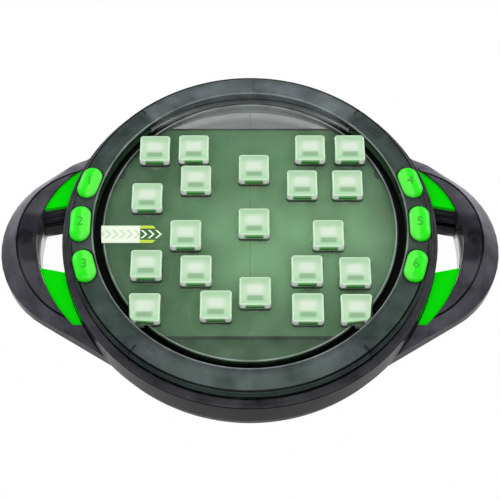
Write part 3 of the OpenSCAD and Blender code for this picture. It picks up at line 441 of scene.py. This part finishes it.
# Glass-fibre board under green solder resist: copper tracks a shade lighter, and darker bare edges. A painted pool of
# light at a given X, whose edge wanders, makes the resist lighter there; farther away it takes the deep colour as
# painted shade.
boardResist = {"resist": "#AEEFAE", "deep": "#6AA86E", "lightPoolX": 22.0, "lightPoolGrain": 45.0, "lightPoolShift": 40.0,
               "lightPoolBand": [82.0, 12.0], "track": "#B0E4B2", "trackPitch": 6.5, "trackWidth": 0.09,
               "trackShade": 0.12, "trackGrain": 22.0, "trackOn": [0.5, 0.56], "wander": 14.0, "wanderGrain": 30.0,
               "edge": "#15301A", "edgeWidth": 1.6, "weave": 0.9, "weaveShare": 0.3}


def makeSolderResist(opts):
    material, tree, shader = startMaterial("greenSolderResist", Roughness=0.35, IOR=1.5)
    place, x, y, z = millimetres(tree)
    # Painted pool of light on the resist, with painted shade farther away
    away = flatLength(tree, mathNode(tree, "SUBTRACT", x, opts["lightPoolX"]), y)
    lightPool = mathNode(tree, "MULTIPLY_ADD", noise(tree, place, opts["lightPoolGrain"]), opts["lightPoolShift"],
                    mathNode(tree, "SUBTRACT", away, opts["lightPoolShift"] / 2))
    base = mixColour(tree, ramp(tree, lightPool, *opts["lightPoolBand"]), linearColour(opts["deep"]),
                     linearColour(opts["resist"]))
    wander = product(tree, noise(tree, place, opts["wanderGrain"], 0.0), opts["wander"])
    lane = mathNode(tree, "FRACT", mathNode(tree, "DIVIDE", mathNode(tree, "ADD", x, wander), opts["trackPitch"]))
    track = product(tree, mathNode(tree, "LESS_THAN", lane, opts["trackWidth"]),
                    ramp(tree, noise(tree, place, opts["trackGrain"]), *opts["trackOn"]))
    colour = mixColour(tree, product(tree, track, opts["trackShade"]), base, linearColour(opts["track"]))
    low, high = (np.array(c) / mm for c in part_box("main_board"))
    middle, half = (low[1] + high[1]) / 2, (high[1] - low[1]) / 2
    fromMiddle = mathNode(tree, "ABSOLUTE", mathNode(tree, "SUBTRACT", y, middle))
    atEdge = ramp(tree, fromMiddle, half - opts["edgeWidth"], half - opts["edgeWidth"] / 2)
    colour = mixColour(tree, atEdge, colour, linearColour(opts["edge"]))
    tree.links.new(colour, shader.inputs["Base Color"])
    weave = product(tree, noise(tree, place, opts["weave"]), opts["weaveShare"])
    addBump(tree, shader, mathNode(tree, "ADD", track, weave), 0.05, 0.4)
    return material


# A plain moulded, cast or drawn material: two close shades in clouds of the given grain, with a fine bump
def makePlain(name, light, dark, roughness, grain, metallic=0.0, bumpGrain=0.6, bumpDepth=0.02):
    material, tree, shader = startMaterial(name, Metallic=metallic, Roughness=roughness)
    place = millimetres(tree)[0]
    colour = mixColour(tree, noise(tree, place, grain, 3.0), linearColour(dark), linearColour(light))
    tree.links.new(colour, shader.inputs["Base Color"])
    rough = mathNode(tree, "MULTIPLY_ADD", noise(tree, place, grain / 2, 3.0), 0.12, roughness - 0.06)
    tree.links.new(rough, shader.inputs["Roughness"])
    addBump(tree, shader, noise(tree, place, bumpGrain), bumpDepth, 0.4)
    return material


topSmoke = makeSmokePolycarbonate("smokePolycarbonateTop", smokeShell)
baseSmoke = makeSmokePolycarbonate("smokePolycarbonateBase", smokeBase)
keyAcrylic = makeFrostedAcrylic(frostedKey)
buttonAbs = makeGreenAbs("greenAbsButton", greenAbs)
insertAbs = makeGreenAbs("greenAbsInsert", greenInsert)
film = makePrintedFilm(arrowFilm)
resist = makeSolderResist(boardResist)
silicone = makePlain("translucentSilicone", "#E6E8E0", "#D2D6CC", 0.55, 3.0)
lampResin = makePlain("lampEpoxy", "#F4EFC8", "#E4DCA8", 0.2, 1.5)
blackEpoxy = makePlain("potting", "#17181A", "#0E0F10", 0.25, 4.0)
sleeve = makePlain("capacitorSleeve", "#23305E", "#1A2448", 0.35, 3.0)
steel = makePlain("zincPlatedSteel", "#C8CACC", "#A9ACB0", 0.32, 1.2, 1.0)
paper = makePlain("pressedPaper", "#26262A", "#17181A", 0.85, 1.0, 0.0, 0.3, 0.08)
ferrite = makePlain("sinteredFerrite", "#3A3B3E", "#26272A", 0.7, 1.5)
vinyl = makePlain("vinylInsulation", "#B3201C", "#8E1613", 0.4, 3.0)
cellJacket = makePlain("printedCellJacket", "#C79A2E", "#8D6A18", 0.3, 14.0)
footRubber = makePlain("nitrileRubber", "#232326", "#151517", 0.8, 2.0, 0.0, 0.25, 0.05)
print("materials ready:", len(bpy.data.materials))


# Housings

# A merged and smooth-shaded copy of a CAD node, which stands for it
def dressNode(nodeName, pieceName, material, body, degrees=28):
    mesh = nodes[nodeName].data.copy()
    mesh.name = pieceName
    work = bmesh.new()
    work.from_mesh(mesh)
    bmesh.ops.remove_doubles(work, verts=work.verts, dist=0.004 * mm)
    work.to_mesh(mesh)
    work.free()
    mesh.materials.clear()
    mesh.materials.append(material)
    smoothByAngle(mesh, degrees)
    piece = bpy.data.objects.new(pieceName, mesh)
    bpy.context.scene.collection.objects.link(piece)
    shading = piece.modifiers.new("flatFaces", "WEIGHTED_NORMAL")
    shading.mode = "FACE_AREA"
    shading.keep_sharp = True
    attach(piece, body)
    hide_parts(nodeName)
    return piece


dressNode("top_housing", "topShell", topSmoke, "console")
dressNode("bottom_housing", "bottomShell", baseSmoke, "console")
print("housings dressed")


# Keys

# The cap's walls, rounded edges, side tabs and inner stem, in millimetres; the outline is a rounded square
keyCap = {"width": 15.4, "corner": 1.5, "edge": 0.9, "wall": 1.5, "footDrop": 7.35, "dish": 0.12, "tabReach": 1.05,
          "tabThick": 1.2, "tabLength": 5.0, "stemDiameter": 6.0, "stemWall": 0.8, "stemSides": 28,
          "rimLimit": 77.7, "tabLimit": 72.85}


# Rounded squares, one row for each half width: corner centre plus corner radius times (cos, sin)
def roundedSquares(half, corner, perCorner=9):
    quarter = np.linspace(0, math.pi / 2, perCorner)
    angle = quarter[None, :] + (np.arange(4) * math.pi / 2)[:, None]
    signX = np.array([1, -1, -1, 1])[:, None]
    signY = np.array([1, 1, -1, -1])[:, None]
    middle = (half - corner)[:, None, None]
    x = signX * middle + corner[:, None, None] * np.cos(angle)
    y = signY * middle + corner[:, None, None] * np.sin(angle)
    return x.reshape(len(half), -1), y.reshape(len(half), -1)


# Cap profile from the middle of its ceiling, down the inside, under the foot, up the outside and over the top.
# Each row is (half width, height below the top).
def capProfile(opts):
    half = opts["width"] / 2
    inner = half - opts["wall"]
    foot = opts["footDrop"]
    turn = np.linspace(0, math.pi / 2, 7)
    inside = [(0.3, opts["wall"]), (inner - 0.6, opts["wall"]), (inner - 0.2, opts["wall"] + 0.15),
              (inner, opts["wall"] + 0.6), (inner, foot), (half, foot)]
    edge = [(half - opts["edge"] * (1 - math.cos(a)), opts["edge"] * (1 - math.sin(a))) for a in turn]
    topRows = [(half * s, opts["dish"] * (1 - (s / 0.86) ** 4)) for s in (0.8, 0.6, 0.35, 0.04)]
    return np.array(inside + edge + topRows)


# Corner points of the four tabs, each on the same half of its side, and their faces
def tabArrays(opts):
    half = opts["width"] / 2
    x = np.array([half - opts["wall"] / 2, half + opts["tabReach"]])
    y = half / 2 + np.array([-0.5, 0.5]) * opts["tabLength"]
    z = -opts["footDrop"] + np.array([0, opts["tabThick"]])
    box = np.stack(np.meshgrid(x, y, z, indexing="ij"), -1).reshape(-1, 3)
    turn = np.arange(4) * math.pi / 2
    points = np.stack([np.cos(turn)[:, None] * box[:, 0] - np.sin(turn)[:, None] * box[:, 1],
                       np.sin(turn)[:, None] * box[:, 0] + np.cos(turn)[:, None] * box[:, 1],
                       np.tile(box[:, 2], (4, 1))], -1)
    sidesOfBox = np.array([[0, 1, 3, 2], [4, 6, 7, 5], [0, 4, 5, 1], [2, 3, 7, 6], [0, 2, 6, 4], [1, 5, 7, 3]])
    return points.reshape(-1, 3), (np.arange(4)[:, None, None] * 8 + sidesOfBox).reshape(-1, 4)


# Points of one key's cap, stem and tabs about the key's own middle, their quads and the cap's grid
def keyArrays(opts, stemDrop):
    profile = capProfile(opts)
    half = profile[:, 0]
    x, y = roundedSquares(half, np.minimum(opts["corner"], half * 0.9))
    cap = np.stack([x, y, -np.repeat(profile[:, 1:], x.shape[1], 1)], -1)
    radius, sides, ceiling = opts["stemDiameter"] / 2, opts["stemSides"], opts["wall"]
    bore = radius - opts["stemWall"]
    stemRows = np.array([[bore, ceiling], [bore, stemDrop], [radius, stemDrop], [radius, ceiling]])
    angle = np.arange(sides) * 2 * math.pi / sides
    stem = np.stack([stemRows[:, :1] * np.cos(angle), stemRows[:, :1] * np.sin(angle),
                     -np.repeat(stemRows[:, 1:], sides, 1)], -1)
    capCount, stemCount = x.size, len(stemRows) * sides
    stemQuads = ringQuads(len(stemRows) + 1, sides) % stemCount
    tabs, tabQuads = tabArrays(opts)
    points = np.concatenate([cap.reshape(-1, 3), stem.reshape(-1, 3), tabs])
    quads = [ringQuads(*x.shape), stemQuads + capCount, tabQuads + capCount + stemCount]
    return points, np.concatenate(quads), cap.shape


def nodePoints(nodeName):
    mesh = nodes[nodeName].data
    points = np.empty(len(mesh.vertices) * 3, np.float32)
    mesh.vertices.foreach_get("co", points)
    return points.reshape(-1, 3).astype(float) / mm


def makeKey(nodeName, opts):
    corners = nodePoints(nodeName)
    low, high = corners[:, 2].min(), corners[:, 2].max()
    stemFoot = corners[corners[:, 2] < low + 0.05]
    middle = (stemFoot.min(0) + stemFoot.max(0)) / 2
    local, quads, capShape = keyArrays(opts, high - low)
    points = local + [middle[0], middle[1], high]
    onTab = np.maximum(abs(local[:, 0]), abs(local[:, 1])) > opts["width"] / 2 + 0.01
    limit = np.where(onTab, opts["tabLimit"], opts["rimLimit"])
    reach = np.hypot(points[:, 0], points[:, 1])
    points[:, :2] *= np.minimum(1, limit / np.maximum(reach, 1e-6))[:, None]
    lastRing = (capShape[0] - 1) * capShape[1] + np.arange(capShape[1])
    faces = quads.tolist() + [lastRing.tolist(), np.arange(capShape[1])[::-1].tolist()]
    piece = meshPiece(nodeName.replace("_", "Cap"), points, faces, keyAcrylic)
    attribute = piece.data.attributes.new("keyPlace", "FLOAT_VECTOR", "POINT")
    attribute.data.foreach_set("vector", local.astype(np.float32).ravel())
    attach(piece, nodeName)
    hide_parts(nodeName)


keyNames = sorted(n for n in nodes if n.startswith("key_") and n[4:].isdigit())
for keyName in keyNames:
    makeKey(keyName, keyCap)
print("keys made:", len(keyNames))


# Mode buttons

# A pillow over a capsule outline, with a raised number
modeButton = {"width": 10.4, "crown": 2.6, "crownPower": 2.3, "footRise": 6.1, "numberHeight": 5.2, "numberProud": 0.14}


# Crown height above the pillow's foot where s is the share of the way from the outline to the spine:
# crown times (1 - (1 - s) to a power) to one over that power
def crownHeight(s, opts):
    power = opts["crownPower"]
    return opts["crown"] * (1 - (1 - np.clip(s, 0, 1)) ** power) ** (1 / power)


# Capsule rows about the origin, long along Y: each row's radius round the two ends of a spine
def capsuleRows(radius, spine, perEnd=20):
    angle = np.linspace(0, math.pi, perEnd)
    turn = np.concatenate([angle, angle + math.pi])
    end = np.repeat([spine / 2, -spine / 2], perEnd)
    x = radius[:, None] * np.cos(turn)
    y = radius[:, None] * np.sin(turn) + end
    return x, y


def makeButton(nodeName, number, opts):
    corners = nodePoints(nodeName)
    low, high = corners.min(0), corners.max(0)
    middle = (low + high) / 2
    facing = math.atan2(middle[1], middle[0])
    along = np.array([-math.sin(facing), math.cos(facing)])
    out = np.array([math.cos(facing), math.sin(facing)])
    crownFoot = high[2] - opts["crown"]
    upper = corners[corners[:, 2] > crownFoot - 0.5]
    length = 2 * np.abs((upper[:, :2] - middle[:2]) @ along).max()
    half = opts["width"] / 2
    spine = length - opts["width"]
    share = 1 - np.cos(np.linspace(0, math.pi / 2, 14))
    radius = np.concatenate([[half, half], half * (1 - share[1:-1]), [half * 0.02]])
    crown = crownFoot + crownHeight(share[1:-1], opts)
    height = np.concatenate([[low[2] + opts["footRise"], crownFoot], crown, [high[2]]])
    x, y = capsuleRows(radius, spine)
    z = np.repeat(height[:, None], x.shape[1], 1)
    plan = x[..., None] * out + y[..., None] * along + middle[:2]
    points = np.concatenate([plan, z[..., None]], -1)
    quads = ringQuads(*x.shape).tolist()
    first = np.arange(x.shape[1])[::-1].tolist()
    last = ((x.shape[0] - 1) * x.shape[1] + np.arange(x.shape[1])).tolist()
    piece = meshPiece(nodeName.replace("mode_button", "pillow"), points.reshape(-1, 3), quads + [first, last],
                      buttonAbs, 50)
    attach(piece, nodeName)
    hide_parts(nodeName)
    raised, faces = numberMesh(str(number), opts)
    spineAway = np.maximum(abs(raised[:, 1]) - spine / 2, 0)
    s = 1 - np.hypot(raised[:, 0], spineAway) / half
    height = crownFoot + crownHeight(s, opts) + raised[:, 2]
    places = np.column_stack([raised[:, :2] + middle[:2], height])
    mark = meshPiece(nodeName.replace("mode_button", "number"), places, faces, markAbs, 40)
    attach(mark, nodeName)


# Points in millimetres and faces of a raised number, upright along Y and centred
def numberMesh(text, opts):
    curve = bpy.data.curves.new("number" + text, "FONT")
    curve.body = text
    curve.align_x = "CENTER"
    curve.align_y = "CENTER"
    curve.size = opts["numberHeight"] * 1.35
    curve.extrude = opts["numberProud"]
    curve.resolution_u = 5
    holder = bpy.data.objects.new("number" + text, curve)
    bpy.context.scene.collection.objects.link(holder)
    made = bpy.data.meshes.new_from_object(holder.evaluated_get(bpy.context.evaluated_depsgraph_get()))
    points = np.empty(len(made.vertices) * 3, np.float32)
    made.vertices.foreach_get("co", points)
    faces = [list(p.vertices) for p in made.polygons]
    bpy.data.objects.remove(holder)
    bpy.data.curves.remove(curve)
    bpy.data.meshes.remove(made)
    return points.reshape(-1, 3).astype(float), faces


markAbs = makePlain("greenAbsMark", "#2FB81E", "#25A015", 0.35, 4.0)
buttonNames = [f"mode_button_{side}_{place}" for side in ("left", "right") for place in ("rear", "middle", "front")]
for number, buttonName in enumerate(buttonNames, 1):
    makeButton(buttonName, number, modeButton)
print("mode buttons made:", len(buttonNames))


# CAD pieces that keep their shape

def finishNode(nodeName, material):
    mesh = nodes[nodeName].data
    mesh.materials.clear()
    mesh.materials.append(material)


finishes = {"start_label": film, "main_board": resist, "key_lamps": lampResin, "key_boots": silicone,
            "button_boots": silicone, "controller_blob": blackEpoxy, "capacitors": sleeve, "speaker_frame": steel,
            "speaker_cone": paper, "speaker_magnet": ferrite, "speaker_wires": vinyl, "battery_contacts_left": steel,
            "battery_contacts_right": steel, "battery_wires": vinyl, "battery_door": baseSmoke, "door_screw": steel,
            "housing_screws": steel, "board_screws": steel, "rubber_feet": footRubber}
finishes.update({n: insertAbs for n in nodes if n.startswith("grip_insert")})
finishes.update({n: cellJacket for n in nodes if n.startswith("battery_") and n[-1].isdigit()})
for nodeName, material in finishes.items():
    finishNode(nodeName, material)
print("CAD pieces finished:", len(finishes))


# Stage

stage = {"floorSize": 6.0, "floorColour": "#F4F4F4", "glow": 0.985, "worldLevel": 0.35}
# Each lamp's place in metres, its size and its power; all of them look at the middle of the floor
lamps = {"front": ((0.0, -0.6, 1.0), 0.9, 6.5), "rearLeft": ((-0.75, 0.5, 0.45), 0.5, 3.6),
         "rearRight": ((0.75, 0.5, 0.45), 0.5, 3.6)}
photoView = {"place": (0.0, -0.3156, 0.5975), "pitchDegrees": 28.27, "lens": 92.45, "sensor": 36.0}


# 1 for the rays that show the backdrop itself: those of the camera, of gloss and of transmission
def backdropRays(tree):
    path = addNode(tree, "ShaderNodeLightPath").outputs
    through = mathNode(tree, "MAXIMUM", path["Is Glossy Ray"], path["Is Transmission Ray"])
    return mathNode(tree, "MAXIMUM", path["Is Camera Ray"], through)


# White to the camera, and a pale matte floor that keeps some of the shadow; from below it is clear
def makeFloor(opts):
    half = opts["floorSize"] / 2
    corners = np.array([[-half, -half, 0], [half, -half, 0], [half, half, 0], [-half, half, 0]]) / mm
    material = bpy.data.materials.new("paperSweep")
    material.use_nodes = True
    tree = material.node_tree
    tree.nodes.clear()
    matte = addNode(tree, "ShaderNodeBsdfDiffuse", {"Color": linearColour(opts["floorColour"])})
    glow = addNode(tree, "ShaderNodeEmission", {"Color": (1, 1, 1, 1), "Strength": 1.0})
    share = mathNode(tree, "MULTIPLY", backdropRays(tree), opts["glow"])
    mixed = addNode(tree, "ShaderNodeMixShader", {0: share, 1: matte.outputs[0], 2: glow.outputs[0]})
    clear = addNode(tree, "ShaderNodeBsdfTransparent")
    fromBelow = addNode(tree, "ShaderNodeNewGeometry").outputs["Backfacing"]
    oneSided = addNode(tree, "ShaderNodeMixShader", {0: fromBelow, 1: mixed.outputs[0], 2: clear.outputs[0]})
    addNode(tree, "ShaderNodeOutputMaterial", {"Surface": oneSided.outputs[0]})
    floor = meshPiece("floor", corners, [[0, 1, 2, 3]], material)


def makeWorld(opts):
    world = bpy.data.worlds.new("studio")
    bpy.context.scene.world = world
    world.use_nodes = True
    tree = world.node_tree
    tree.nodes.clear()
    level = mathNode(tree, "MULTIPLY_ADD", backdropRays(tree), 1 - opts["worldLevel"], opts["worldLevel"])
    back = addNode(tree, "ShaderNodeBackground", {"Color": (1, 1, 1, 1), "Strength": level})
    addNode(tree, "ShaderNodeOutputWorld", {"Surface": back.outputs[0]})


def makeLamp(name, place, size, watts):
    data = bpy.data.lights.new(name, "AREA")
    data.size = size
    data.energy = watts
    lamp = bpy.data.objects.new(name, data)
    lamp.location = place
    lamp.rotation_euler = (-Vector(place)).to_track_quat("-Z", "Y").to_euler()
    bpy.context.scene.collection.objects.link(lamp)


def makeCamera(opts):
    data = bpy.data.cameras.new("camera")
    data.sensor_width = opts["sensor"]
    data.lens = opts["lens"]
    camera = bpy.data.objects.new("camera", data)
    camera.location = opts["place"]
    camera.rotation_euler = (math.radians(opts["pitchDegrees"]), 0.0, 0.0)
    bpy.context.scene.collection.objects.link(camera)
    bpy.context.scene.camera = camera


makeFloor(stage)
makeWorld(stage)
for lampName, (place, size, watts) in lamps.items():
    makeLamp(lampName, place, size, watts)
makeCamera(photoView)
bpy.context.scene.view_settings.view_transform = "Standard"
print("stage set")
